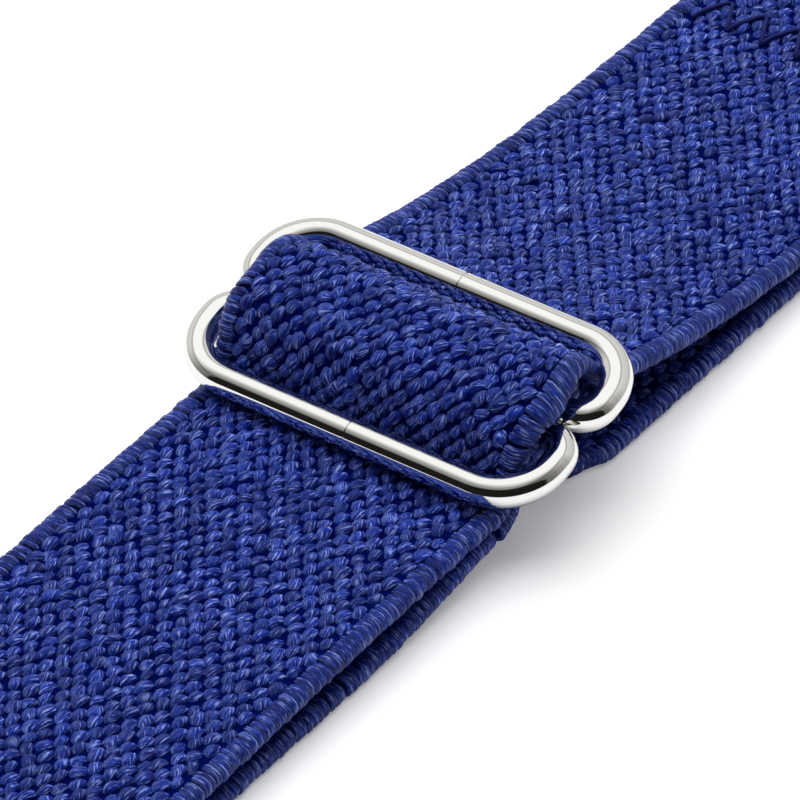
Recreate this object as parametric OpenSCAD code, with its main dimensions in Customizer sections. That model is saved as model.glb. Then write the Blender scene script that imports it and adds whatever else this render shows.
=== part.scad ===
// Elastic nylon watch strap with a double-ring wire slider.
// X runs along the strap, Y across it, Z up. The strap lies on the plane z = 0,
// with its two spring bars at the same distance on either side of the origin.

/* [Webbing] */
// Width of the elastic webbing
strap_w = 22; // [18:0.5:24]
// Thickness of the webbing
strap_t = 1.2; // [0.9:0.05:1.4]
// Amount the webbing draws in at each side where it passes through a ring
draw_in = 0.5; // [0.4:0.05:1.2]
// Length over which the webbing narrows before and after each ring
draw_len = 2; // [1.5:0.5:4]

/* [Slider] */
// Diameter of the slider's wire
wire_d = 2; // [1.4:0.1:2.2]
// Length of each ring's opening, beyond the width of the webbing
ring_spare_l = 0.8; // [0.6:0.2:4]
// Width of each ring's opening, along the strap
ring_open_w = 3.3; // [3.3:0.1:5]
// Bend radius of the outer corners, at the middle of the wire
outer_bend_r = 3.4; // [2:0.1:3.6]
// Bend radius of the corners at the centre wires, at the middle of the wire
inner_bend_r = 1.4; // [1.1:0.1:1.5]
// Tilt of the slider on the strap, raised on the side of the sewn end
slider_tilt = 14; // [4:1:16]
// Width of the butt seam where each ring's wire ends meet
seam_w = 0.1; // [0.05:0.01:0.2]
// Depth of the butt seam
seam_depth = 0.1; // [0.05:0.01:0.2]
// Place across the strap of the butt seam on the near ring
near_seam_y = -0.3; // [-5:0.1:5]
// Place across the strap of the butt seam on the far ring
far_seam_y = 0.2; // [-5:0.1:5]
// Gap between the two centre wires, filled by the braze
ring_gap = 0.04; // [0.02:0.01:0.2]
// Height of the braze between the centre wires
braze_h = 1.1; // [0.8:0.05:1.3]

/* [Layout] */
// Distance between the two spring bars
bar_span = 136; // [120:1:160]
// Distance from the slider to the spring bar in the sewn end
slider_to_sewn = 55; // [45:1:65]
// Distance from that spring bar to the middle of the sewing
bar_to_sewing = 9; // [8:0.5:14]
// Length of webbing that the sewing holds
sewing_l = 6; // [4:0.5:8]
// Length of the flap that runs back under the slider, from the sewing
flap_l = 42.5; // [10:0.5:50]
// Length of the loop around the other spring bar
loop_l = 19; // [12:0.5:26]
// Slope of the webbing where it leaves the slider towards the sewn end
exit_slope = 20; // [10:1:30]
// Clearance between the webbing and the wire, and between threaded layers
thread_gap = 0.1; // [0.05:0.01:0.2]
// Clearance of the slider's underside over the flap
slide_gap = 0.15; // [0.1:0.05:0.5]
// Gap between pieces of one webbing that move apart
cut_gap = 0.1; // [0.05:0.05:0.3]
// Turn of the sewn end around the near centre wire, past its top
wrap_turn = 115; // [95:1:120]

/* [Spring bars] */
// Distance between the watch's lugs
lug_w = 22; // [20:0.5:24]
// Outer diameter of the bar's tube
tube_d = 1.8; // [1.5:0.1:2]
// Wall of the tube
tube_wall = 0.25; // [0.15:0.05:0.3]
// Length of the closed end of the tube
tube_end = 0.3; // [0.2:0.05:0.5]
// Diameter of the pivots that enter the lugs
pivot_d = 0.8; // [0.7:0.05:0.9]
// Length of each pivot
pivot_l = 1.1; // [0.8:0.1:1.4]
// Diameter of the two flanges behind each pivot
flange_d = 1.4; // [1.1:0.1:1.5]
// Thickness of each flange
flange_t = 0.25; // [0.2:0.05:0.4]
// Width of the V groove between the flanges, at its top
groove_w = 0.35; // [0.25:0.05:0.6]
// Travel of each pivot into the tube
pivot_travel = 1.2; // [0.8:0.1:1.4]
// Length of the piston behind each pivot, inside the tube
piston_l = 1.4; // [1:0.1:2]
// Clearance of the pistons in the tube, and of the necks in its ends
slip = 0.05; // [0.03:0.01:0.08]
// Clearance between the tube and the webbing around it
bar_gap = 0.15; // [0.1:0.05:0.3]
// Distance from a lug's face to the outer flange
lug_gap = 0.1; // [0.05:0.05:0.3]
// Diameter of the wire of the spring inside the tube
spring_wire_d = 0.24; // [0.18:0.02:0.28]
// Number of turns of that spring
spring_turns = 14; // [8:1:20]

/* [Hidden] */

blue = [0.10, 0.15, 0.42];
nickel = [0.85, 0.85, 0.84];
steel = [0.66, 0.67, 0.69];

// The wire
wire_r = wire_d / 2;
ring_l = strap_w + ring_spare_l + wire_d;
ring_w = ring_open_w + wire_d;
centre_u = wire_r + ring_gap / 2;
outer_u = centre_u + ring_w;

// Middle line of the webbing where it bends round the wires
under_r = wire_r + thread_gap + strap_t / 2;
over_r = under_r + strap_t + thread_gap;
thread_slope = asin((under_r + over_r) / ring_w);

// Where the threaded layer passes through a ring, and half the length that stays narrow
pass_u = centre_u + ring_w * over_r / (under_r + over_r);
pass_l = 0.8;

// Places along the strap
bar_x = bar_span / 2;
slider_x = bar_x - slider_to_sewn;
sewing_x = bar_x - bar_to_sewing;
fold_x = sewing_x - sewing_l / 2;
flap_x = fold_x - flap_l;
loop_x = loop_l - bar_x;

// Heights: the near outer wire lies on two layers that clear the flap
floor_z = strap_t / 2;
double_z = floor_z + strap_t + thread_gap;
lower_z = strap_t + slide_gap + strap_t / 2;
upper_z = lower_z + strap_t + thread_gap;
slider_z = upper_z + under_r + outer_u * sin(slider_tilt);
loop_r = tube_d / 2 + bar_gap + strap_t / 2;
bar_z = floor_z + loop_r;

// Spring bars, as distances from the middle of the bar
pivot_y = lug_w / 2 - lug_gap;
flanges_y = pivot_y - 2 * flange_t - groove_w;
tube_y = flanges_y - pivot_travel - lug_gap;
piston_y = tube_y - tube_end - slip;
bore_r = tube_d / 2 - tube_wall;

// Steps of an arc, a bend and the rounded edge of the webbing
arc_step = 12;
bend_steps = 14;
edge_steps = 5;

// Facets of a round wire and of a bend, the reach of a cut past its solid,
// and the shortest straight length that is drawn
smooth = 48;
bend_smooth = 96;
past = 1;
shortest = 0.01;

// How far each bend of the webbing keeps its direction, at its two ends
wrap_reach = 2.4;
exit_reach = 7;
settle_reach = 20;
arrive_reach = 18;
rise_l = 14;
rise_reach = [6, 4];
fold_reach = [2.2, 1.6];

// Point at angle a on a circle around c
function on_circle(c, r, a) = c + r * [cos(a), sin(a)];

// Arc around c from angle a0 to a1, in equal steps
function arc(c, r, a0, a1) =
    let (n = max(2, ceil(abs(a1 - a0) / arc_step)))
    [for (i = [0:n]) on_circle(c, r, a0 + (a1 - a0) * i / n)];

// Unit vector at angle a
function dir(a) = [cos(a), sin(a)];

// Cubic curve from p0, leaving at angle a0, to p3, arriving at angle a3
function bend(p0, a0, h0, p3, a3, h3) =
    let (p1 = p0 + h0 * dir(a0), p2 = p3 - h3 * dir(a3))
    [for (i = [0:bend_steps])
        let (s = i / bend_steps, q = 1 - s)
        q * q * q * p0 + 3 * q * q * s * p1 + 3 * q * s * s * p2 + s * s * s * p3];

// A path without its first point, to join it to the path before
function rest(p) = [for (i = [1:len(p) - 1]) p[i]];

// From the slider's own frame to the strap's
function place(p) =
    [for (q = p) [slider_x + q[0] * cos(slider_tilt) - q[1] * sin(slider_tilt),
                  slider_z + q[0] * sin(slider_tilt) + q[1] * cos(slider_tilt)]];

// Half the width of the webbing at x: narrow in the two rings, full elsewhere
function half_w(x) =
    let (d = (abs(abs(x - slider_x) - pass_u) - pass_l) / draw_len,
         s = min(1, max(0, d)))
    strap_w / 2 - draw_in * (1 - s * s * (3 - 2 * s));

// Direction of a path at its point i
function heading(p, i) =
    let (a = p[max(0, i - 1)], b = p[min(len(p) - 1, i + 1)], d = b - a)
    d / norm(d);

// Outline of the webbing's section: flat faces and half-round selvedges
function section(h) =
    let (r = strap_t / 2)
    [for (side = [1, -1], i = [0:edge_steps])
        let (a = -90 + 180 * i / edge_steps)
        [side * (h - r + r * cos(a)), side * r * sin(a)]];

// Webbing along a path in the plane of X and Z, with its section across Y
module webbing(path) {
    n = len(path);
    m = 2 * (edge_steps + 1);
    points = [for (i = [0:n - 1])
                let (t = heading(path, i))
                for (q = section(half_w(path[i][0])))
                    [path[i][0] - q[1] * t[1], q[0], path[i][1] + q[1] * t[0]]];
    sides = [for (i = [0:n - 2], j = [0:m - 1])
                let (k = (j + 1) % m)
                each [[i * m + j, i * m + k, (i + 1) * m + k],
                      [i * m + j, (i + 1) * m + k, (i + 1) * m + j]]];
    caps = [[for (j = [0:m - 1]) m - 1 - j],
            [for (j = [0:m - 1]) (n - 1) * m + j]];
    polyhedron(points, concat(sides, caps), convexity = 6);
}

// The layer that is threaded: under the outer wires and over the centre wires
hump_path = place(concat(
    arc([-outer_u, 0], under_r, -90 - slider_tilt, -90 + thread_slope),
    arc([-centre_u, 0], over_r, 90 + thread_slope, 90),
    arc([centre_u, 0], over_r, 90, 90 - thread_slope),
    arc([outer_u, 0], under_r, -90 - thread_slope, -90 - exit_slope - slider_tilt)));
hump_start = hump_path[0];
hump_end = hump_path[len(hump_path) - 1];

// The fixed end: sewn around the centre wires, and leaving towards bar B
lower_start = hump_start - [0, strap_t + thread_gap];
fixed_bottom = place([[-centre_u, -under_r]])[0];
fixed_path = concat(
    bend(lower_start, 0, wrap_reach, fixed_bottom, slider_tilt, wrap_reach),
    place(arc([centre_u, 0], under_r, -90, 90)),
    place(arc([-centre_u, 0], under_r, 90, 90 + wrap_turn)));

// Towards the sewn end, and around its spring bar
exit_start = hump_end + cut_gap * dir(-exit_slope);
fold_start = [fold_x, double_z];
run_a_path = bend(exit_start, -exit_slope, exit_reach,
                  fold_start - [cut_gap, 0], 0, settle_reach);
lift = 20;
fold_top = on_circle([bar_x, bar_z], loop_r, 90 + lift);
fold_path = concat(
    [fold_start],
    bend([sewing_x + sewing_l / 2, double_z], 0, fold_reach[0], fold_top, lift, fold_reach[1]),
    rest(arc([bar_x, bar_z], loop_r, 90 + lift, -90)),
    [[fold_x, floor_z]]);
flap_path = [[fold_x, floor_z], [flap_x, floor_z]];

// Towards the loop, and around the other spring bar
loop_top = on_circle([-bar_x, bar_z], loop_r, 90 - lift);
loop_start = [loop_x, double_z];
rise_x = -bar_x + bar_to_sewing - sewing_l / 2;
loop_path = concat(
    [loop_start],
    bend([rise_x, double_z], 180, fold_reach[0], loop_top, 180 - lift, fold_reach[1]),
    rest(arc([-bar_x, bar_z], loop_r, 90 - lift, 270)),
    [[loop_x, floor_z]]);
run_b_path = bend(loop_start + [cut_gap, 0], 0, settle_reach,
                  hump_start - [cut_gap, 0], 0, arrive_reach);
lower_run_end = lower_start - [cut_gap, 0];
lower_run_path = concat(
    [[loop_x + cut_gap, floor_z]],
    bend([lower_run_end[0] - rise_l, floor_z], 0, rise_reach[0],
         lower_run_end, 0, rise_reach[1]));

module slider_frame() {
    translate([slider_x, 0, slider_z]) rotate([0, -slider_tilt, 0]) children();
}

// A straight piece of wire across the strap, at u along the slider
module cross_wire(u, l) {
    translate([u, l / 2, 0]) rotate([90, 0, 0]) cylinder(r = wire_r, h = l, $fn = smooth);
}

// A quarter bend of wire around c, from angle a
module wire_bend(c, r, a) {
    translate([c[0], c[1], 0]) rotate([0, 0, a])
        rotate_extrude(angle = 90, $fn = bend_smooth) translate([r, 0]) circle(r = wire_r, $fn = smooth);
}

// One ring of round wire in the slider's frame, with its opening on the side of +X
module wire_ring(seam_y) {
    ho = ring_l / 2 - outer_bend_r;
    hi = ring_l / 2 - inner_bend_r;
    uo = outer_u - outer_bend_r;
    ui = centre_u + inner_bend_r;
    difference() {
        union() {
            cross_wire(outer_u, 2 * ho);
            cross_wire(centre_u, 2 * hi);
            wire_bend([uo, ho], outer_bend_r, 0);
            wire_bend([ui, hi], inner_bend_r, 90);
            wire_bend([ui, -hi], inner_bend_r, 180);
            wire_bend([uo, -ho], outer_bend_r, 270);
            if (uo > ui + shortest)
                for (y = [-ring_l / 2, ring_l / 2])
                    translate([ui, y, 0]) rotate([0, 90, 0])
                        cylinder(r = wire_r, h = uo - ui, $fn = smooth);
        }
        translate([outer_u, seam_y + seam_w / 2, 0]) rotate([90, 0, 0])
            difference() {
                cylinder(r = wire_r + past, h = seam_w, $fn = smooth);
                translate([0, 0, -past])
                    cylinder(r = wire_r - seam_depth, h = seam_w + 2 * past, $fn = smooth);
            }
    }
}

module slider_far_ring() {
    color(nickel) slider_frame() wire_ring(far_seam_y);
}

module slider_near_ring() {
    color(nickel) slider_frame() rotate([0, 0, 180]) wire_ring(-near_seam_y);
}

// The braze that fills the hollow between the two centre wires
module slider_braze() {
    l = ring_l - 2 * inner_bend_r;
    bite = 0.02;
    color(nickel) slider_frame() translate([0, l / 2, 0]) rotate([90, 0, 0])
        linear_extrude(height = l) difference() {
            square([wire_d, braze_h], center = true);
            for (side = [-1, 1])
                translate([side * centre_u, 0]) circle(r = wire_r - bite, $fn = smooth);
        }
}

module strap_threaded_hump() { color(blue) webbing(hump_path); }
module strap_fixed_end() { color(blue) webbing(fixed_path); }
module strap_upper_run_a() { color(blue) webbing(run_a_path); }
module strap_sewn_fold() { color(blue) webbing(fold_path); }
module strap_flap() { color(blue) webbing(flap_path); }
module strap_upper_run_b() { color(blue) webbing(run_b_path); }
module strap_loop_b() { color(blue) webbing(loop_path); }
module strap_lower_run_b() { color(blue) webbing(lower_run_path); }

// Places a piece on the bar at x, with the bar's axis along Y
module on_bar(x) {
    translate([x, 0, bar_z]) rotate([-90, 0, 0]) children();
}

// The tube, with its ends closed down to a hole for the neck of each tip
module bar_tube(x) {
    neck_hole_r = pivot_d / 2 + slip;
    color(steel) on_bar(x) difference() {
        translate([0, 0, -tube_y]) cylinder(d = tube_d, h = 2 * tube_y, $fn = smooth);
        translate([0, 0, -tube_y + tube_end])
            cylinder(r = bore_r, h = 2 * (tube_y - tube_end), $fn = smooth);
        translate([0, 0, -tube_y - past])
            cylinder(r = neck_hole_r, h = 2 * (tube_y + past), $fn = smooth);
    }
}

// One tip: piston, neck, two flanges with a V groove for the tool, and pivot
module bar_tip(x, side) {
    piston_r = bore_r - slip;
    neck_r = pivot_d / 2;
    flange_r = flange_d / 2;
    tip_y = pivot_y + pivot_l;
    round = neck_r / 4;
    color(steel) on_bar(x) rotate([side > 0 ? 0 : 180, 0, 0])
        rotate_extrude($fn = smooth) polygon([
            [0, piston_y - piston_l], [piston_r, piston_y - piston_l], [piston_r, piston_y],
            [neck_r, piston_y], [neck_r, flanges_y], [flange_r, flanges_y],
            [flange_r, flanges_y + flange_t], [neck_r, pivot_y - flange_t - groove_w / 2],
            [flange_r, pivot_y - flange_t], [flange_r, pivot_y],
            [neck_r, pivot_y], [neck_r, tip_y - round], [neck_r - round, tip_y], [0, tip_y]]);
}

// The spring between the two pistons: a helix of round wire
module bar_spring(x) {
    r = bore_r - slip - spring_wire_d / 2;
    l = 2 * (piston_y - piston_l) - spring_wire_d - 2 * slip;
    turn_steps = 8;
    sides = 5;
    n = spring_turns * turn_steps;
    points = [for (i = [0:n])
                let (a = 360 * i / turn_steps, z = l * (i / n - 0.5))
                for (j = [0:sides - 1])
                    let (b = 360 * j / sides, q = r + spring_wire_d / 2 * cos(b))
                    [q * cos(a), q * sin(a), z + spring_wire_d / 2 * sin(b)]];
    skin = [for (i = [0:n - 1], j = [0:sides - 1])
                let (k = (j + 1) % sides)
                each [[i * sides + j, (i + 1) * sides + k, i * sides + k],
                      [i * sides + j, (i + 1) * sides + j, (i + 1) * sides + k]]];
    caps = [[for (j = [0:sides - 1]) j], [for (j = [0:sides - 1]) n * sides + sides - 1 - j]];
    color(steel) on_bar(x) polyhedron(points, concat(skin, caps), convexity = 10);
}

module bar_a_tube() { bar_tube(bar_x); }
module bar_a_left_tip() { bar_tip(bar_x, 1); }
module bar_a_right_tip() { bar_tip(bar_x, -1); }
module bar_a_spring() { bar_spring(bar_x); }
module bar_b_tube() { bar_tube(-bar_x); }
module bar_b_left_tip() { bar_tip(-bar_x, 1); }
module bar_b_right_tip() { bar_tip(-bar_x, -1); }
module bar_b_spring() { bar_spring(-bar_x); }

slider_near_ring();
slider_far_ring();
slider_braze();
strap_sewn_fold();
strap_flap();
strap_upper_run_a();
strap_threaded_hump();
strap_upper_run_b();
strap_loop_b();
strap_lower_run_b();
strap_fixed_end();
bar_a_tube();
bar_a_left_tip();
bar_a_right_tip();
bar_a_spring();
bar_b_tube();
bar_b_left_tip();
bar_b_right_tip();
bar_b_spring();
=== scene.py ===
import math

import bpy
import numpy as np
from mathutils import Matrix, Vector


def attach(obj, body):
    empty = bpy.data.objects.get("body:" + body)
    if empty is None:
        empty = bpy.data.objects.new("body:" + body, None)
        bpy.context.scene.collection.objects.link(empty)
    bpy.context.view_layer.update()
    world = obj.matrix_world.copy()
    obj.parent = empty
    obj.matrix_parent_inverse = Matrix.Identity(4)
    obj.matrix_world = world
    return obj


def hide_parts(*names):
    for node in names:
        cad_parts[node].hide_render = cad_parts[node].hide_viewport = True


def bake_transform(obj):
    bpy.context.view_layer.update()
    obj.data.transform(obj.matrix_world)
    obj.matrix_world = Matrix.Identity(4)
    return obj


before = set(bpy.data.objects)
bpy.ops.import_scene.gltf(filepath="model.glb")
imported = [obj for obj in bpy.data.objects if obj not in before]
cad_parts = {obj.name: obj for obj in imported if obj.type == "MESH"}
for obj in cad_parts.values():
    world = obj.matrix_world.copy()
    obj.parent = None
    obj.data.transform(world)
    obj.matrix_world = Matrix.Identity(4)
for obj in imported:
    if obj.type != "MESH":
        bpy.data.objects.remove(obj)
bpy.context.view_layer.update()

# The view: a long lens looks down along the strap from the near left, so that the
# slider fills the middle of the picture and both ends of the strap run out of it.
# Azimuth 0 looks along +Y. Lengths in this file are in mm until they are put in the scene.
MM = 0.001
VIEW_AZIMUTH = math.radians(-54.9)
VIEW_ELEVATION = math.radians(37.4)
VIEW_DISTANCE = 480.0
VIEW_ACROSS = 47.4
VIEW_OFFSET = (-0.41, -2.25)
VIEW_CLIP = (50.0, 20000.0)
SLIDER_MIDDLE = Vector((13.0, 0.0, 6.38))

to_camera = Vector((math.sin(VIEW_AZIMUTH) * math.cos(VIEW_ELEVATION),
                    -math.cos(VIEW_AZIMUTH) * math.cos(VIEW_ELEVATION),
                    math.sin(VIEW_ELEVATION)))
view_right = Vector((math.cos(VIEW_AZIMUTH), math.sin(VIEW_AZIMUTH), 0.0))
view_up = to_camera.cross(view_right)
camera = bpy.data.objects.new("camera", bpy.data.cameras.new("camera"))
bpy.context.scene.collection.objects.link(camera)
camera.data.lens = camera.data.sensor_width * VIEW_DISTANCE / VIEW_ACROSS
camera.data.clip_start, camera.data.clip_end = MM * VIEW_CLIP[0], MM * VIEW_CLIP[1]
camera.location = MM * (SLIDER_MIDDLE + VIEW_DISTANCE * to_camera
                        + VIEW_OFFSET[0] * view_right + VIEW_OFFSET[1] * view_up)
camera.rotation_mode = "QUATERNION"
camera.rotation_quaternion = to_camera.to_track_quat("Z", "Y")
bpy.context.scene.camera = camera
bpy.context.scene.view_settings.view_transform = "Standard"

# The table: a sheet of matt white paper far larger than the view, and one large soft lamp
# overhead and a little behind, which puts the strap's soft shadow on its near side. The lens
# sees the paper slightly overexposed, as in a catalogue picture, and more so far away.
FLOOR_SIZE = 6000.0
OVEREXPOSED, SWEEP_FROM, SWEEP_TO = 0.22, 150.0, 900.0
SOFTBOX_SIZE = 1000.0
SOFTBOX_AT = Vector((165.0, 180.0, 640.0))
SOFTBOX_POWER = 7.6


def linear(hex_colour):
    """An sRGB hex colour as linear red, green, blue and 1. A low share is divided by 12.92;
    any other has 0.055 added, is divided by 1.055 and is raised to the power of 2.4."""
    values = [int(hex_colour[i:i + 2], 16) / 255 for i in (1, 3, 5)]
    return [v / 12.92 if v <= 0.04045 else ((v + 0.055) / 1.055) ** 2.4
            for v in values] + [1.0]


def add_node(tree, kind, inputs=None, **settings):
    """Adds a node, gives it its settings, and sets or links each of its inputs."""
    made = tree.nodes.new(kind)
    for name, value in settings.items():
        setattr(made, name, value)
    for name, value in (inputs or {}).items():
        if isinstance(value, bpy.types.NodeSocket):
            tree.links.new(value, made.inputs[name])
        else:
            made.inputs[name].default_value = value
    return made


def new_material(name):
    """An empty material with its output node, for the shader to be linked to."""
    made = bpy.data.materials.new(name)
    made.use_nodes = True
    made.node_tree.nodes.clear()
    return made, made.node_tree, add_node(made.node_tree, "ShaderNodeOutputMaterial")


floor_mesh = bpy.data.meshes.new("floor")
half = FLOOR_SIZE / 2 * MM
floor_mesh.from_pydata(
    [(-half, -half, 0), (half, -half, 0), (half, half, 0), (-half, half, 0)], [], [(0, 1, 2, 3)])
floor = bpy.data.objects.new("floor", floor_mesh)
bpy.context.scene.collection.objects.link(floor)
paper, tree, out = new_material("matt_white_paper")
matt = add_node(tree, "ShaderNodeBsdfDiffuse", {"Color": linear("#F7F7F8")})
rays = add_node(tree, "ShaderNodeLightPath")
place = add_node(tree, "ShaderNodeTexCoord")
distance = add_node(tree, "ShaderNodeVectorMath", {0: place.outputs["Object"]}, operation="LENGTH")
overexposed = add_node(tree, "ShaderNodeMapRange", {
    "Value": distance.outputs["Value"], "From Min": SWEEP_FROM * MM, "From Max": SWEEP_TO * MM,
    "To Min": OVEREXPOSED, "To Max": 1.0})
amount = add_node(tree, "ShaderNodeMath", {
    0: rays.outputs["Is Camera Ray"], 1: overexposed.outputs[0]}, operation="MULTIPLY")
white = add_node(tree, "ShaderNodeEmission", {
    "Color": (1, 1, 1, 1), "Strength": amount.outputs[0]})
paper_shader = add_node(tree, "ShaderNodeAddShader", {0: matt.outputs[0], 1: white.outputs[0]})
tree.links.new(paper_shader.outputs[0], out.inputs["Surface"])
floor_mesh.materials.append(paper)

softbox = bpy.data.objects.new("softbox", bpy.data.lights.new("softbox", "AREA"))
softbox.data.shape, softbox.data.size = "SQUARE", SOFTBOX_SIZE * MM
softbox.data.energy = SOFTBOX_POWER
softbox.location = MM * SOFTBOX_AT
softbox.rotation_mode = "QUATERNION"
softbox.rotation_quaternion = SOFTBOX_AT.to_track_quat("Z", "Y")
softbox.visible_glossy = False
bpy.context.scene.collection.objects.link(softbox)

# The room: plain white to the lens. Polished metal reflects light grey walls, a white
# ceiling edged with a thin grey line, and on the near side the camera and its stand: a
# dark block, rounded at its corners, that rises from the table and fades out around it.
DIFFUSE_LEVEL, DIFFUSE_SHADE = 0.19, "#FAFBFF"
PATCH_TOWARDS = math.radians(203)
PATCH_WIDTH, PATCH_HEIGHT = math.radians(66), math.radians(50)
PATCH_FADED = 2.80
PATCH_SHADES = ((0.86, "#242322"), (0.99, "#868583"), (1.45, "#9C9B99"), (2.10, "#D8D7D5"),
                (PATCH_FADED, "#FFFFFF"))
SKY_UP = (-0.10, 0.17, 0.98)
SKY = ((0.0, "#C2C1BF"), (0.30, "#D0CFCD"), (0.62, "#DAD9D7"), (0.68, "#B2B1AF"),
       (0.735, "#BCBBB9"), (0.77, "#FFFFFE"))


def add_ramp(tree, value, stops):
    """A colour ramp through stops, each a place from 0 to 1 and an sRGB hex colour."""
    made = add_node(tree, "ShaderNodeValToRGB", {0: value})
    elements = made.color_ramp.elements
    elements.remove(elements[1])
    elements[0].position, elements[0].color = stops[0][0], linear(stops[0][1])
    for position, shade in stops[1:]:
        elements.new(position).color = linear(shade)
    return made.outputs[0]


world = bpy.data.worlds.new("studio")
bpy.context.scene.world = world
world.use_nodes = True
tree = world.node_tree
tree.nodes.clear()
place = add_node(tree, "ShaderNodeTexCoord")
direction = place.outputs["Generated"]
rise = add_node(tree, "ShaderNodeVectorMath", {0: direction, 1: SKY_UP}, operation="DOT_PRODUCT")
sky = add_ramp(tree, rise.outputs["Value"], SKY)
# The block's edge runs where the fourth powers of its shares of width and height add to 1
turned = add_node(tree, "ShaderNodeVectorRotate", {
    "Vector": direction, "Angle": -PATCH_TOWARDS}, rotation_type="Z_AXIS")
ahead = add_node(tree, "ShaderNodeSeparateXYZ", {0: turned.outputs[0]})
azimuth = add_node(tree, "ShaderNodeMath", {
    0: ahead.outputs["Y"], 1: ahead.outputs["X"]}, operation="ARCTAN2")
elevation = add_node(tree, "ShaderNodeMath", {0: ahead.outputs["Z"]}, operation="ARCSINE")
wide = add_node(tree, "ShaderNodeMath", {
    0: azimuth.outputs[0], 1: PATCH_WIDTH}, operation="DIVIDE")
high = add_node(tree, "ShaderNodeMath", {
    0: elevation.outputs[0], 1: PATCH_HEIGHT}, operation="DIVIDE")
shares = add_node(tree, "ShaderNodeCombineXYZ", {0: wide.outputs[0], 1: high.outputs[0]})
squares = add_node(tree, "ShaderNodeVectorMath", {
    0: shares.outputs[0], 1: shares.outputs[0]}, operation="MULTIPLY")
away = add_node(tree, "ShaderNodeVectorMath", {0: squares.outputs[0]}, operation="LENGTH")
faded = add_node(tree, "ShaderNodeMath", {
    0: away.outputs["Value"], 1: PATCH_FADED}, operation="DIVIDE")
patch = add_ramp(tree, faded.outputs[0], [(at / PATCH_FADED, shade) for at, shade in PATCH_SHADES])
reflected = add_node(tree, "ShaderNodeMix", {0: 1.0, 6: sky, 7: patch},
                     data_type="RGBA", blend_type="MULTIPLY")
rays = add_node(tree, "ShaderNodeLightPath")
room = add_node(tree, "ShaderNodeBackground", {"Color": reflected.outputs[2], "Strength": 1.0})
soft = add_node(tree, "ShaderNodeBackground", {
    "Color": linear(DIFFUSE_SHADE), "Strength": DIFFUSE_LEVEL})
white = add_node(tree, "ShaderNodeBackground", {"Color": (1, 1, 1, 1), "Strength": 1.0})
for_gloss = add_node(tree, "ShaderNodeMixShader", {
    0: rays.outputs["Is Glossy Ray"], 1: soft.outputs[0], 2: room.outputs[0]})
for_lens = add_node(tree, "ShaderNodeMixShader", {
    0: rays.outputs["Is Camera Ray"], 1: for_gloss.outputs[0], 2: white.outputs[0]})
out = add_node(tree, "ShaderNodeOutputWorld")
tree.links.new(for_lens.outputs[0], out.inputs["Surface"])

# The webbing: one length of elastic nylon, 22 mm wide and 1.2 mm thick. It starts as a
# flap under the slider, folds round spring bar A, climbs through the slider, loops round
# bar B, and comes back under itself to end round the slider's two centre wires.
STRAP_W, STRAP_T = 22.0, 1.2
HALF_W = STRAP_W / 2
WIRE_R = 1.0
CENTRE_U, OUTER_U = 1.02, 6.32
TILT, EXIT_SLOPE, WRAP_END = 14.0, 20.0, 205.0
GAP, SLIDE_GAP, CUT = 0.1, 0.15, 0.1
BAR_X, SEWING_END, FOLD_X, FLAP_X, LOOP_X = 68.0, 62.0, 56.0, 13.5, -49.0
FLOOR_Z = STRAP_T / 2
DOUBLE_Z = FLOOR_Z + STRAP_T + GAP
BAR_R = 1.65
BAR_Z = FLOOR_Z + BAR_R
BAR_LIFT = 20.0
UNDER_R = WIRE_R + GAP + STRAP_T / 2
OVER_R = UNDER_R + STRAP_T + GAP
SLOPE = math.degrees(math.asin((UNDER_R + OVER_R) / (OUTER_U - CENTRE_U)))
PASS_U = CENTRE_U + (OUTER_U - CENTRE_U) * OVER_R / (UNDER_R + OVER_R)
SLIDER_X = SLIDER_MIDDLE.x
SLIDER_Z = (STRAP_T + SLIDE_GAP + STRAP_T / 2 + STRAP_T + GAP + UNDER_R
            + OUTER_U * math.sin(math.radians(TILT)))
# How far each bend of the webbing keeps its direction, at its two ends
FOLD_REACH, WRAP_REACH, RISE_REACH = (2.2, 1.6), 2.4, (6.0, 4.0)
EXIT_REACH, SETTLE_REACH, ARRIVE_REACH, RISE_LENGTH = 7.0, 20.0, 18.0, 14.0
ARC_STEP, BEND_POINTS = 3, 40


def heading(degrees):
    """The unit vector at an angle in the plane of X and Z."""
    return np.array([math.cos(math.radians(degrees)), math.sin(math.radians(degrees))])


def arc(centre, radius, start, end):
    """Points on a circle from one angle to another, a few degrees apart."""
    count = max(3, math.ceil(abs(end - start) / ARC_STEP) + 1)
    angles = np.radians(np.linspace(start, end, count))
    return np.array(centre) + radius * np.stack([np.cos(angles), np.sin(angles)], 1)


def bend(start, angle, reach, end, end_angle, end_reach):
    """Points on a cubic curve that leaves and arrives at two given angles: four points are
    weighed by one, three, three and one times the powers of the shares s and one less s,
    and the inner two lie ahead of the start and short of the end by a reach each."""
    s = np.linspace(0, 1, BEND_POINTS)[:, None]
    a, d = np.array(start, float), np.array(end, float)
    b, c = a + reach * heading(angle), d - end_reach * heading(end_angle)
    return (1 - s) ** 3 * a + 3 * (1 - s) ** 2 * s * b + 3 * (1 - s) * s * s * c + s ** 3 * d


def on_slider(points):
    """Points in the slider's own frame, tilted and moved to its place on the strap."""
    across, up = heading(TILT), heading(TILT + 90)
    points = np.asarray(points, float)
    return np.array([SLIDER_X, SLIDER_Z]) + points[..., :1] * across + points[..., 1:] * up


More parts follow.
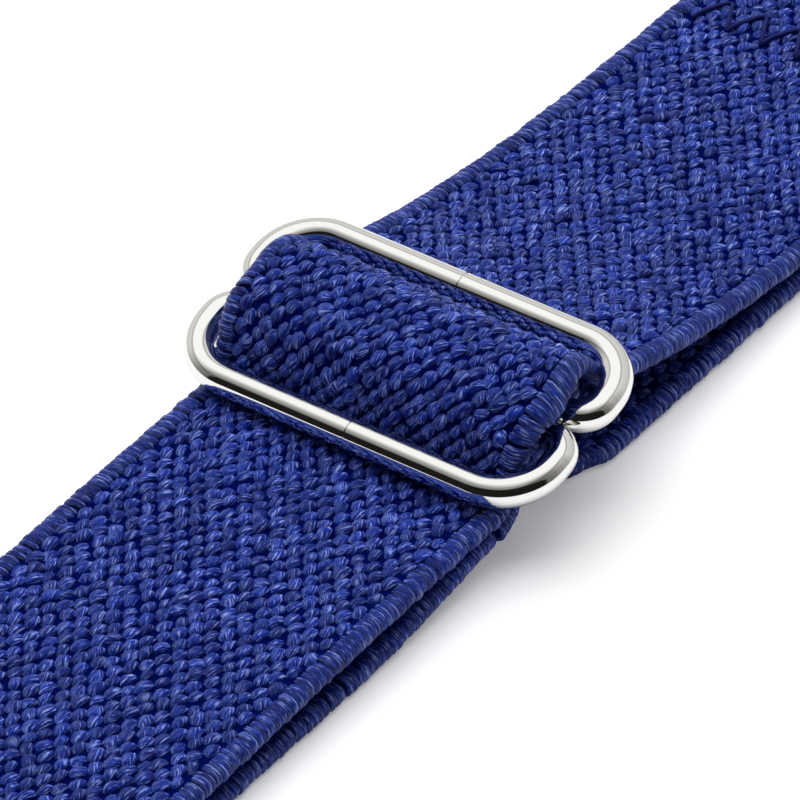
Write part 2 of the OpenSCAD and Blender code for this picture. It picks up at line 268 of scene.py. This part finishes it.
hump = on_slider(np.concatenate([
    arc([-OUTER_U, 0], UNDER_R, -90 - TILT, -90 + SLOPE),
    arc([-CENTRE_U, 0], OVER_R, 90 + SLOPE, 90),
    arc([CENTRE_U, 0], OVER_R, 90, 90 - SLOPE),
    arc([OUTER_U, 0], UNDER_R, -90 - SLOPE, -90 - EXIT_SLOPE - TILT)]))
lower_end = hump[0] - [0, STRAP_T + GAP]
fold_top = [BAR_X, BAR_Z] + BAR_R * heading(90 + BAR_LIFT)
loop_top = [-BAR_X, BAR_Z] + BAR_R * heading(90 - BAR_LIFT)
STRETCHES = {
    "flap": np.array([[FLAP_X, FLOOR_Z], [FOLD_X, FLOOR_Z]]),
    "fold": np.concatenate([
        [[FOLD_X, FLOOR_Z]],
        arc([BAR_X, BAR_Z], BAR_R, -90, 90 + BAR_LIFT),
        bend(fold_top, 180 + BAR_LIFT, FOLD_REACH[1], [SEWING_END, DOUBLE_Z], 180, FOLD_REACH[0]),
        [[FOLD_X, DOUBLE_Z]]]),
    "run_a": bend([FOLD_X - CUT, DOUBLE_Z], 180, SETTLE_REACH,
                  hump[-1] + CUT * heading(-EXIT_SLOPE), 180 - EXIT_SLOPE, EXIT_REACH),
    "hump": hump[::-1],
    "run_b": bend(hump[0] - [CUT, 0], 180, ARRIVE_REACH,
                  [LOOP_X + CUT, DOUBLE_Z], 180, SETTLE_REACH),
    "loop": np.concatenate([
        [[LOOP_X, DOUBLE_Z]],
        bend([-SEWING_END, DOUBLE_Z], 180, FOLD_REACH[0], loop_top, 180 - BAR_LIFT, FOLD_REACH[1]),
        arc([-BAR_X, BAR_Z], BAR_R, 90 - BAR_LIFT, 270)[1:],
        [[LOOP_X, FLOOR_Z]]]),
    "lower_run": np.concatenate([
        [[LOOP_X + CUT, FLOOR_Z]],
        bend([lower_end[0] - CUT - RISE_LENGTH, FLOOR_Z], 0, RISE_REACH[0],
             lower_end - [CUT, 0], 0, RISE_REACH[1])]),
    "fixed_end": np.concatenate([
        bend(lower_end, 0, WRAP_REACH, on_slider([-CENTRE_U, -UNDER_R]), TILT, WRAP_REACH),
        on_slider(arc([CENTRE_U, 0], UNDER_R, -90, 90)),
        on_slider(arc([-CENTRE_U, 0], UNDER_R, 90, WRAP_END))]),
}
# The stretches are joined into one line, and each is found again by its length along it
SAME_POINT, FINE, SOFTEN_OVER = 1e-6, 0.05, 5
line = np.concatenate(list(STRETCHES.values()))
steps = np.linalg.norm(np.diff(line, axis=0), axis=1)
line = line[np.concatenate([[True], steps > SAME_POINT])]
length_at = np.concatenate([[0], np.cumsum(np.linalg.norm(np.diff(line, axis=0), axis=1))])
spans = {name: [length_at[np.argmin(np.linalg.norm(line - end, axis=1))]
                for end in (points[0], points[-1])] for name, points in STRETCHES.items()}
fine_at = np.arange(0, length_at[-1], FINE)
fine_x = np.interp(fine_at, length_at, line[:, 0])
fine_z = np.interp(fine_at, length_at, line[:, 1])
turn = np.gradient(np.stack([fine_x, fine_z], 1), axis=0)
soften = np.ones(SOFTEN_OVER) / SOFTEN_OVER
turn = np.stack([np.convolve(np.pad(turn[:, k], SOFTEN_OVER // 2, "edge"), soften, "valid")
                 for k in (0, 1)], 1)
turn /= np.linalg.norm(turn, axis=1)[:, None]
# The webbing narrows where it passes between the wires. At its crest it sits a little to
# the right, spreads, and curls down at its edges over the fixed end tucked in beneath it.
DRAW_IN, DRAW_LENGTH, PASS_LENGTH = 0.12, 1.0, 0.3
CREST_S, CREST_SHIFT, CREST_SPREAD = float(np.mean(spans["hump"])), -0.25, 0.45
CURL, CURL_FROM, CURL_LENGTH, CURL_MOST = 0.9, 9.2, 6.0, 1.2
TUCK, TUCK_SHIFT, TUCK_FROM, TUCK_LENGTH = 0.4, 0.3, spans["fixed_end"][0] + 1.5, 3.0
# The flap's cut end is sealed with heat, which shrinks it
SHRINK, SHRINK_LENGTH, FLAP_TRIM = 1.1, 3.5, 2.0


def ease(share):
    """A smooth step: three times the square less twice the cube of a share from 0 to 1."""
    share = np.clip(share, 0, 1)
    return share * share * (3 - 2 * share)


def on_webbing(s, y, h):
    """Points of the strap's frame for places on the webbing: s along its middle line, y
    across it and h off it. The width is scaled by one less what the webbing narrows, as a
    share of half its width, and h grows by the curl times the square of the edge's share."""
    x, z = np.interp(s, fine_at, fine_x), np.interp(s, fine_at, fine_z)
    tx, tz = np.interp(s, fine_at, turn[:, 0]), np.interp(s, fine_at, turn[:, 1])
    beyond = np.minimum(s, 0) + np.maximum(s - fine_at[-1], 0)
    x, z = x + tx * beyond, z + tz * beyond
    clear = ease((np.abs(np.abs(x - SLIDER_X) - PASS_U) - PASS_LENGTH) / DRAW_LENGTH)
    tucked = ease((s - TUCK_FROM) / TUCK_LENGTH)
    over = ease(1 - np.abs(s - CREST_S) / CURL_LENGTH)
    shrunk = ease(1 - (s - FLAP_TRIM) / SHRINK_LENGTH)
    narrowed = DRAW_IN * (1 - clear) + TUCK * tucked + SHRINK * shrunk - CREST_SPREAD * over
    edge = np.clip((np.abs(y) - CURL_FROM) / (HALF_W - CURL_FROM), 0, CURL_MOST)
    h = h + CURL * over * edge * edge
    y = y * (1 - narrowed / HALF_W) + CREST_SHIFT * over + TUCK_SHIFT * tucked
    return np.stack([x - h * tz, y, z + h * tx], -1)


# The core of the webbing: the ground of weft and rubber that the floats cover. It is the
# floats' blue nylon, with painted shade in its colour: a dull, near-black navy that stands
# for the shadow between the floats.
CORE_T, CORE_INSET, CORE_STEP = 0.56, 0.3, 0.3
EDGE_POINTS, FLAT_POINTS = 7, 12
SEAL_T, SEAL_LENGTH = 1.0, 0.5
core_nylon, tree, out = new_material("ground_weave_painted_shade")
# Painted shade: the ground's colour is darkened to the shadow between the floats
core_shader = add_node(tree, "ShaderNodeBsdfPrincipled", {
    "Base Color": linear("#030B4C"), "Roughness": 0.9, "IOR": 1.53,
    "Specular IOR Level": 0.0})
tree.links.new(core_shader.outputs[0], out.inputs["Surface"])


def tubes(points, uv, tone, count, rings, around):
    """A shell of alike closed tubes, each of rings of points and then two poles: quads along
    it and triangles at its ends. Each quad splits into two triangles, and a first corner
    dotted with the cross product of the other two is six times the volume it adds. All the
    faces are turned over if the sum is negative."""
    i, j = np.meshgrid(np.arange(rings - 1), np.arange(around), indexing="ij")
    k = (j + 1) % around
    quads = np.stack([i * around + j, i * around + k, (i + 1) * around + k,
                      (i + 1) * around + j], -1).reshape(-1, 4)
    ring = np.arange(around)
    after = (ring + 1) % around
    last = (rings - 1) * around
    pole = np.full(around, rings * around)
    tris = np.concatenate([np.stack([pole, after, ring], -1),
                           np.stack([pole + 1, last + ring, last + after], -1)])
    first = (np.arange(count) * (rings * around + 2))[:, None, None]
    quads, tris = (quads + first).reshape(-1, 4), (tris + first).reshape(-1, 3)
    a, b, c, d = (points[quads[:, corner]] for corner in range(4))
    if np.einsum("ij,ij->i", a, np.cross(b, c) + np.cross(c, d)).sum() < 0:
        quads, tris = quads[:, ::-1], tris[:, ::-1]
    return {"points": points, "quads": quads, "tris": tris, "uv": uv, "tone": tone}


def core_shell(s0, s1, sealed):
    """A closed strip between two places along the webbing, with half-round edges. Towards
    an end that is cut it swells, by a straight ramp, to nearly the webbing's thickness."""
    stations = np.linspace(s0, s1, max(3, math.ceil((s1 - s0) / CORE_STEP)))
    swell = np.ones(len(stations))
    for cut in sealed:
        swell += (SEAL_T / CORE_T - 1) * np.clip(1 - np.abs(stations - cut) / SEAL_LENGTH, 0, 1)
    r, half_w = CORE_T / 2, HALF_W - CORE_INSET
    angles = np.radians(np.linspace(-90, 90, EDGE_POINTS))
    bulge = half_w - r + r * np.cos(angles)
    flat = np.linspace(half_w - r, r - half_w, FLAT_POINTS + 2)[1:-1]
    level = np.full(FLAT_POINTS, r)
    y = np.concatenate([bulge, flat, -bulge, -flat])
    h = np.concatenate([r * np.sin(angles), level, -r * np.sin(angles), -level])
    at_s = np.append(np.repeat(stations, len(y)), [s0, s1])
    at_y = np.append(np.tile(y, len(stations)), [0, 0])
    at_h = np.append(np.outer(swell, h), [0, 0])
    return tubes(on_webbing(at_s, at_y, at_h), np.stack([at_s, at_y], 1), np.zeros(len(at_s)),
                 1, len(stations), len(y))


# The floats: plump warp yarns that lie along the strap on both of its faces, in columns
# 0.58 mm apart, each column half a repeat on from the next. Each float bulges over the
# ends of its neighbours and leaves a small dark pit at its own ends.
COLUMN, COLUMNS = 0.58, np.arange(-16, 17)
FLOAT_W, FLOAT_H, FLOAT_SHARE, FLOAT_CLEAR = 0.43, 0.27, 0.83, 0.5
LAST_RING, BLUNT = 0.86, 3.0
CREST = STRAP_T / 2
DIP, ARCH = 0.19, 2.2
GIRTH, STREAK_START = 1.6, 3.0
S_JITTER, Y_JITTER, YAW_JITTER, SIZE_JITTER, LIFT_JITTER = 0.09, 0.045, 0.20, 0.10, 0.04
SLANT, SLANT_JITTER, FRAY = -0.12, 0.3, 0.022
# Pulled flat, the floats lie nearly along the strap and repeat every 1.6 mm. Over the slider
# the elastic draws them together, and they lean towards one edge in slanting ridges.
FLAT_LAY = (1.6, math.radians(-4))
HUMP_LAY = (1.42, math.radians(-19))
# Where a needle has gone through, the floats are pulled down into a dimple
NEEDLE_DEPTH, NEEDLE_SPREAD = 0.3, 0.45
# Twisted filaments of solution-dyed nylon: deep royal blue that varies from streak to streak,
# with a soft lustre. The pale glints in thin streaks along each yarn are painted highlights:
# the palest stop of the colour. The filaments are 0.03 mm thick in the real yarn, and drawn
# 0.07 mm apart so that they show. The streaks are two thirds of a millimetre long.
FILAMENT, STREAK, YARN_SHIFT = 0.07, 2 / 3, 37.0
RELIEF = 0.06
# The palest stop is painted highlight: glints along the filaments put into the colour
YARN_SHADES_AND_GLINTS = ((0.40, "#041462"), (0.50, "#0B2C97"), (0.56, "#2748B0"), (0.63, "#8C9CDC"))
YARN_TONES = (0.66, 1.20)
nylon, tree, out = new_material("dyed_nylon_painted_glints")
uv_node = add_node(tree, "ShaderNodeUVMap", uv_map="yarn")
tone_node = add_node(tree, "ShaderNodeAttribute", attribute_name="tone")
split = add_node(tree, "ShaderNodeSeparateXYZ", {0: uv_node.outputs[0]})
across = add_node(tree, "ShaderNodeMath", {
    0: split.outputs[1], 1: 1 / FILAMENT}, operation="MULTIPLY")
along = add_node(tree, "ShaderNodeMath", {
    0: split.outputs[0], 1: 1 / STREAK}, operation="MULTIPLY")
shift = add_node(tree, "ShaderNodeMath", {
    0: tone_node.outputs["Fac"], 1: YARN_SHIFT}, operation="MULTIPLY")
place = add_node(tree, "ShaderNodeCombineXYZ", {
    0: along.outputs[0], 1: across.outputs[0], 2: shift.outputs[0]})
filaments = add_node(tree, "ShaderNodeTexNoise", {
    "Vector": place.outputs[0], "Scale": 1.0, "Detail": 2.0, "Roughness": 0.6})
streaks_and_glints = add_ramp(tree, filaments.outputs[0], YARN_SHADES_AND_GLINTS)
shade = add_node(tree, "ShaderNodeMapRange", {
    0: tone_node.outputs["Fac"], 3: YARN_TONES[0], 4: YARN_TONES[1]})
toned = add_node(tree, "ShaderNodeVectorMath", {
    0: streaks_and_glints, 3: shade.outputs[0]}, operation="SCALE")
relief = add_node(tree, "ShaderNodeBump", {
    "Height": filaments.outputs[0], "Strength": 1.0, "Distance": RELIEF * MM})
nylon_shader = add_node(tree, "ShaderNodeBsdfPrincipled", {
    "Base Color": toned.outputs[0], "Roughness": 0.42, "IOR": 1.53,
    "Specular IOR Level": 0.22, "Normal": relief.outputs[0]})
tree.links.new(nylon_shader.outputs[0], out.inputs["Surface"])

chance = np.random.default_rng(11)


def float_shell(s0, s1, side, rings, around, needles, lay):
    """Closed, blunt-ended grains whose middle line is an arch that dips into the core by a
    power of the distance from its middle. Their centres lie on a lattice of columns, every
    second one moved by half a repeat. A needle's dimple is a bell, its depth times e to the
    power of less the square of the distance over the spread."""
    repeat, yaw = lay
    length = FLOAT_SHARE * repeat
    rows = np.arange(math.floor(s0 / repeat) - 1, math.ceil(s1 / repeat) + 1)
    j, i = (a.ravel() for a in np.meshgrid(COLUMNS, rows))
    s = (i + 0.5 * ((j + (side < 0)) % 2)) * repeat
    inside = (s >= s0) & (s < s1)
    s, y = s[inside], j[inside] * COLUMN
    count = len(s)
    s = s + chance.normal(0, S_JITTER, count)
    y = y + chance.normal(0, Y_JITTER, count)
    yaw = yaw * side + chance.normal(0, YAW_JITTER, count)
    size = 1 + chance.normal(0, SIZE_JITTER, count)
    slant = chance.normal(SLANT, SLANT_JITTER, count)
    tone = chance.random(count)
    t = np.sin(np.linspace(-LAST_RING, LAST_RING, rings) * math.pi / 2)
    round_off = (1 - np.abs(t) ** BLUNT) ** 0.5
    angle = np.radians(90 + 360 * np.arange(around) / around)
    along = np.concatenate([np.repeat(t, around) * length / 2, [-length / 2, length / 2]])
    across = np.concatenate([np.outer(round_off, np.cos(angle)).ravel() * FLOAT_W, [0, 0]])
    arch = CREST - FLOAT_H - DIP * np.abs(t) ** ARCH
    up = np.concatenate([(arch[:, None] + np.outer(round_off, np.sin(angle)) * FLOAT_H).ravel(),
                         [CREST - FLOAT_H - DIP] * 2])
    a = along[None] * np.sqrt(size)[:, None] + chance.normal(0, FRAY, (count, len(along)))
    b = across[None] * size[:, None] + chance.normal(0, FRAY, (count, len(along)))
    at_s = s[:, None] + a * np.cos(yaw)[:, None] - b * np.sin(yaw)[:, None]
    at_y = y[:, None] + a * np.sin(yaw)[:, None] + b * np.cos(yaw)[:, None]
    lift = chance.normal(0, LIFT_JITTER, count)[:, None] + up[None]
    for needle in needles:
        away = (at_s - needle[0]) ** 2 + (at_y - needle[1]) ** 2
        lift = lift - NEEDLE_DEPTH * np.exp(-away / NEEDLE_SPREAD ** 2)
    points = on_webbing(at_s.ravel(), at_y.ravel(), (side * lift).ravel())
    girth = np.concatenate([np.tile(np.arange(around) / around * GIRTH, rings), [0, 0]])
    uv = np.stack([np.tile(along, count), np.tile(girth, count)], 1)
    uv[:, 1] += uv[:, 0] * np.repeat(slant, len(along))
    uv[:, 0] += np.repeat(chance.random(count) * STREAK_START, len(along))
    return tubes(points, uv, np.repeat(tone, len(along)), count, rings, around)


# The selvedge: the weft turns round each edge in thick loops, 0.56 mm apart and a little
# slanted, and rolls the edge into a rounded cord. Its nylon is the floats', painted a little
# darker as shade on the rolled edge.
LOOP_PITCH, LOOP_R, LOOP_DEPTH, LOOP_SLANT, LOOP_AROUND = 0.56, 0.34, 0.18, 0.16, 6
LOOP_Y = np.array([9.62, 9.82, 10.15, 10.52, 10.78, 10.87, 10.78, 10.52, 10.15, 9.82, 9.62])
LOOP_H = np.array([0.10, 0.36, 0.44, 0.41, 0.25, 0.0, -0.25, -0.41, -0.44, -0.36, -0.10])
LOOP_FAT = np.array([0.45, 0.85, 1.0, 1.0, 1.0, 1.0, 1.0, 1.0, 1.0, 0.85, 0.45])
LOOP_END = 0.1
LOOP_S_JITTER, LOOP_SIZE_JITTER, LOOP_Y_JITTER, LOOP_TONE_AND_SHADE = 0.05, 0.12, 0.03, 0.4


def selvedge_shell(s0, s1, edge):
    """Closed flattened tubes that run round the edge from one face to the other. Each ring
    is an ellipse, wide along the strap and thin along the normal of the tube's path."""
    s = (np.arange(math.floor(s0 / LOOP_PITCH), math.ceil(s1 / LOOP_PITCH)) + 0.5) * LOOP_PITCH
    s = s[(s >= s0) & (s < s1)]
    count = len(s)
    s = s + chance.normal(0, LOOP_S_JITTER, count)
    size = 1 + chance.normal(0, LOOP_SIZE_JITTER, count)
    # Painted shade: the loops take only the darker part of the floats' range of tones
    tone = LOOP_TONE_AND_SHADE * chance.random(count)
    rings, around = len(LOOP_Y), LOOP_AROUND
    lean = LOOP_SLANT * np.linspace(1, -1, rings)
    ty, th = np.gradient(LOOP_Y), np.gradient(LOOP_H)
    norm = np.hypot(ty, th)
    angle = np.radians(360 * np.arange(around) / around)
    out_by = np.outer(LOOP_FAT, np.sin(angle)) * LOOP_DEPTH
    ds = lean[:, None] + np.outer(LOOP_FAT, np.cos(angle)) * LOOP_R
    y = LOOP_Y[:, None] + out_by * (th / norm)[:, None]
    h = LOOP_H[:, None] - out_by * (ty / norm)[:, None]
    ds = np.append(ds.ravel(), lean[[0, -1]])
    y = np.append(y.ravel(), LOOP_Y[[0, -1]] - LOOP_END)
    h = np.append(h.ravel(), LOOP_H[[0, -1]])
    at_s = s[:, None] + ds[None] * size[:, None]
    at_y = edge * (y[None] + chance.normal(0, LOOP_Y_JITTER, count)[:, None])
    points = on_webbing(at_s.ravel(), at_y.ravel(), np.tile(h, count))
    along = np.cumsum(np.append(0, np.hypot(np.diff(LOOP_Y), np.diff(LOOP_H))))
    u = np.append(np.repeat(along, around), along[[0, -1]])
    v = np.append(np.tile(np.arange(around) / around * GIRTH, rings), [0, 0])
    uv = np.stack([np.tile(u, count), np.tile(v, count)], 1)
    return tubes(points, uv, np.repeat(tone, len(u)), count, rings, around)


# The stretches: the same webbing, divided where it is held or moves differently. Each is one
# core with floats on both of its faces and a selvedge along each edge. A face's values are
# its side and its floats' rings and points around, and the outer face is the finer.
OUTER_FACE, INNER_FACE = (-1, 7, 6), (1, 5, 5)


def add_mesh(name, shells, material):
    """An object from shells, each a dict of points in mm, quads, tris, uv in mm and tone."""
    points, uv, tone = (np.concatenate([shell[kind] for shell in shells])
                        for kind in ("points", "uv", "tone"))
    first = np.cumsum([0] + [len(shell["points"]) for shell in shells])
    faces = [shell[kind] + f for shell, f in zip(shells, first) for kind in ("quads", "tris")]
    sizes = np.concatenate([np.full(len(f), f.shape[1]) for f in faces])
    corners = np.concatenate([f.ravel() for f in faces]).astype(np.int32)
    loop_starts = np.concatenate([[0], np.cumsum(sizes)[:-1]]).astype(np.int32)
    mesh = bpy.data.meshes.new(name)
    mesh.vertices.add(len(points))
    mesh.vertices.foreach_set("co", (points * MM).astype(np.float32).ravel())
    mesh.loops.add(len(corners))
    mesh.loops.foreach_set("vertex_index", corners)
    mesh.polygons.add(len(sizes))
    mesh.polygons.foreach_set("loop_start", loop_starts)
    mesh.polygons.foreach_set("loop_total", sizes.astype(np.int32))
    mesh.polygons.foreach_set("use_smooth", np.ones(len(sizes), bool))
    yarn = mesh.uv_layers.new(name="yarn")
    yarn.data.foreach_set("uv", uv[corners].astype(np.float32).ravel())
    tones = mesh.attributes.new("tone", "FLOAT", "POINT")
    tones.data.foreach_set("value", tone.astype(np.float32))
    mesh.update(calc_edges=True)
    mesh.materials.append(material)
    made = bpy.data.objects.new(name, mesh)
    bpy.context.scene.collection.objects.link(made)
    return made


def lay_webbing(stretch, node, bodies, blend_over=None, needles=(),
                cut_ends=(), cut_back=0.0, lay=FLAT_LAY):
    """One stretch of the webbing: its core, and on it the floats and selvedges. It rides on
    one body, or, where places along X are given, it is attached to no body and its place
    is baked into its points."""
    s0, s1 = spans[stretch]
    s0 = s0 + cut_back
    whole = s0 + FLOAT_CLEAR * (0 in cut_ends), s1 - FLOAT_CLEAR * (1 in cut_ends)
    core = add_mesh("webbing_" + stretch,
                    [core_shell(s0, s1, [(s0, s1)[end] for end in cut_ends])], core_nylon)
    weave = add_mesh("webbing_" + stretch + "_weave", [
        float_shell(*whole, *OUTER_FACE, needles, lay), float_shell(*whole, *INNER_FACE, (), lay),
        selvedge_shell(s0, s1, 1), selvedge_shell(s0, s1, -1)], nylon)
    for piece in (core, weave):
        if blend_over is None:
            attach(piece, bodies[0])
        else:
            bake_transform(piece)
    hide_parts(node)


# The sewing: a zigzag of thick bonded nylon thread holds the folded end, on both of its
# faces. The bond closes the thread into one dark, barely glossy cord, which stands out from
# the webbing on top and is pressed flush with it beneath.
NEEDLE_X, NEEDLE_STEP, NEEDLE_COUNT = (57.6, 60.4), 2.6, 8
THREAD_R, THREAD_PROUD, THREAD_PRESSED, THREAD_DIVE = 0.16, 0.05, -0.16, 4
THREAD_RINGS, THREAD_AROUND = 11, 8
hole = np.arange(2 * NEEDLE_COUNT - 1)
zigzag_y = (hole - NEEDLE_COUNT + 1) * NEEDLE_STEP / 2
zigzag_x = np.where(hole % 2 == 0, *NEEDLE_X)
on_top = np.stack([spans["fold"][1] - (zigzag_x - FOLD_X), zigzag_y], 1)
beneath = np.stack([spans["fold"][0] + (zigzag_x - FOLD_X), zigzag_y], 1)
thread_nylon, tree, out = new_material("bonded_nylon_thread")
thread_shader = add_node(tree, "ShaderNodeBsdfPrincipled", {
    "Base Color": linear("#0E1858"), "Roughness": 0.5, "IOR": 1.53, "Specular IOR Level": 0.2})
tree.links.new(thread_shader.outputs[0], out.inputs["Surface"])


def stitch_shell(holes, proud):
    """One closed tube a stitch: straight from hole to hole, and dipping into both by the
    fourth power of the distance from its middle."""
    a, b = holes[:-1], holes[1:]
    count = len(a)
    t = np.linspace(-1, 1, THREAD_RINGS)
    middle = (a + b)[:, None] / 2 + t[None, :, None] * (b - a)[:, None] / 2
    depth = CREST + proud - NEEDLE_DEPTH * np.abs(t) ** THREAD_DIVE
    along = (b - a) / np.linalg.norm(b - a, axis=1)[:, None]
    side = np.stack([-along[:, 1], along[:, 0]], 1)
    angle = 2 * np.pi * np.arange(THREAD_AROUND) / THREAD_AROUND
    reach = THREAD_R * np.cos(angle)[None, None, :, None] * side[:, None, None]
    spot = middle[:, :, None] + reach
    high = depth[None, :, None] + THREAD_R * np.sin(angle)[None, None, :]
    high = np.broadcast_to(high, spot.shape[:3])
    spot = np.concatenate([spot.reshape(count, -1, 2), middle[:, [0, -1]]], 1)
    high = np.concatenate([high.reshape(count, -1), np.full((count, 2), depth[0])], 1)
    points = on_webbing(spot[..., 0].ravel(), spot[..., 1].ravel(), -high.ravel())
    return tubes(points, spot.reshape(-1, 2), np.zeros(len(points)),
                 count, THREAD_RINGS, THREAD_AROUND)


thread = add_mesh("sewing_thread", [stitch_shell(on_top, THREAD_PROUD),
                                    stitch_shell(beneath, THREAD_PRESSED)], thread_nylon)
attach(thread, "sewn_end")

# Run A's places along X start a little way inside the fold
BLEND_LEAD = 3
lay_webbing("flap", "strap_flap", ["sewn_end"], cut_ends=(0,),
            cut_back=FLAP_TRIM)
lay_webbing("fold", "strap_sewn_fold", ["sewn_end"],
            needles=np.concatenate([on_top, beneath]))
lay_webbing("run_a", "strap_upper_run_a",
            ["sewn_end", "slider"], (FOLD_X + BLEND_LEAD, hump[-1][0] + CUT))
lay_webbing("hump", "strap_threaded_hump", ["slider"],
            lay=HUMP_LAY)
lay_webbing("run_b", "strap_upper_run_b",
            ["slider", "loop_end"], (hump[0][0], LOOP_X))
lay_webbing("loop", "strap_loop_b", ["loop_end"])
lay_webbing("lower_run", "strap_lower_run_b", ["slider", "loop_end"],
            (hump[0][0], LOOP_X))
lay_webbing("fixed_end", "strap_fixed_end", ["slider"],
            cut_ends=(1,))

# The slider: two rings of bent steel wire, brazed side by side, polished and then plated
# with nickel, which gives it crisp reflections in a white that is only just warm.
nickel, tree, out = new_material("polished_nickel_plate")
nickel_shader = add_node(tree, "ShaderNodeBsdfPrincipled", {
    "Base Color": linear("#F7F6F3"), "Metallic": 1.0, "Roughness": 0.06})
tree.links.new(nickel_shader.outputs[0], out.inputs["Surface"])


def finish_nodes(names, material):
    """Gives solids of the frame one material."""
    for name in names:
        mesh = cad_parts[name].data
        mesh.materials.clear()
        mesh.materials.append(material)


finish_nodes(["slider_near_ring", "slider_far_ring", "slider_braze"], nickel)

# The spring bars: turned stainless steel, hidden in the fold and the loop but for their
# ends. The lathe's fine grooves make it greyer than the slider and blur what it reflects.
steel, tree, out = new_material("turned_stainless_steel")
steel_shader = add_node(tree, "ShaderNodeBsdfPrincipled", {
    "Base Color": linear("#C9C9C7"), "Metallic": 1.0, "Roughness": 0.25})
tree.links.new(steel_shader.outputs[0], out.inputs["Surface"])
for bar in ("bar_a", "bar_b"):
    finish_nodes([bar + part for part in ("_tube", "_left_tip", "_right_tip", "_spring")], steel)
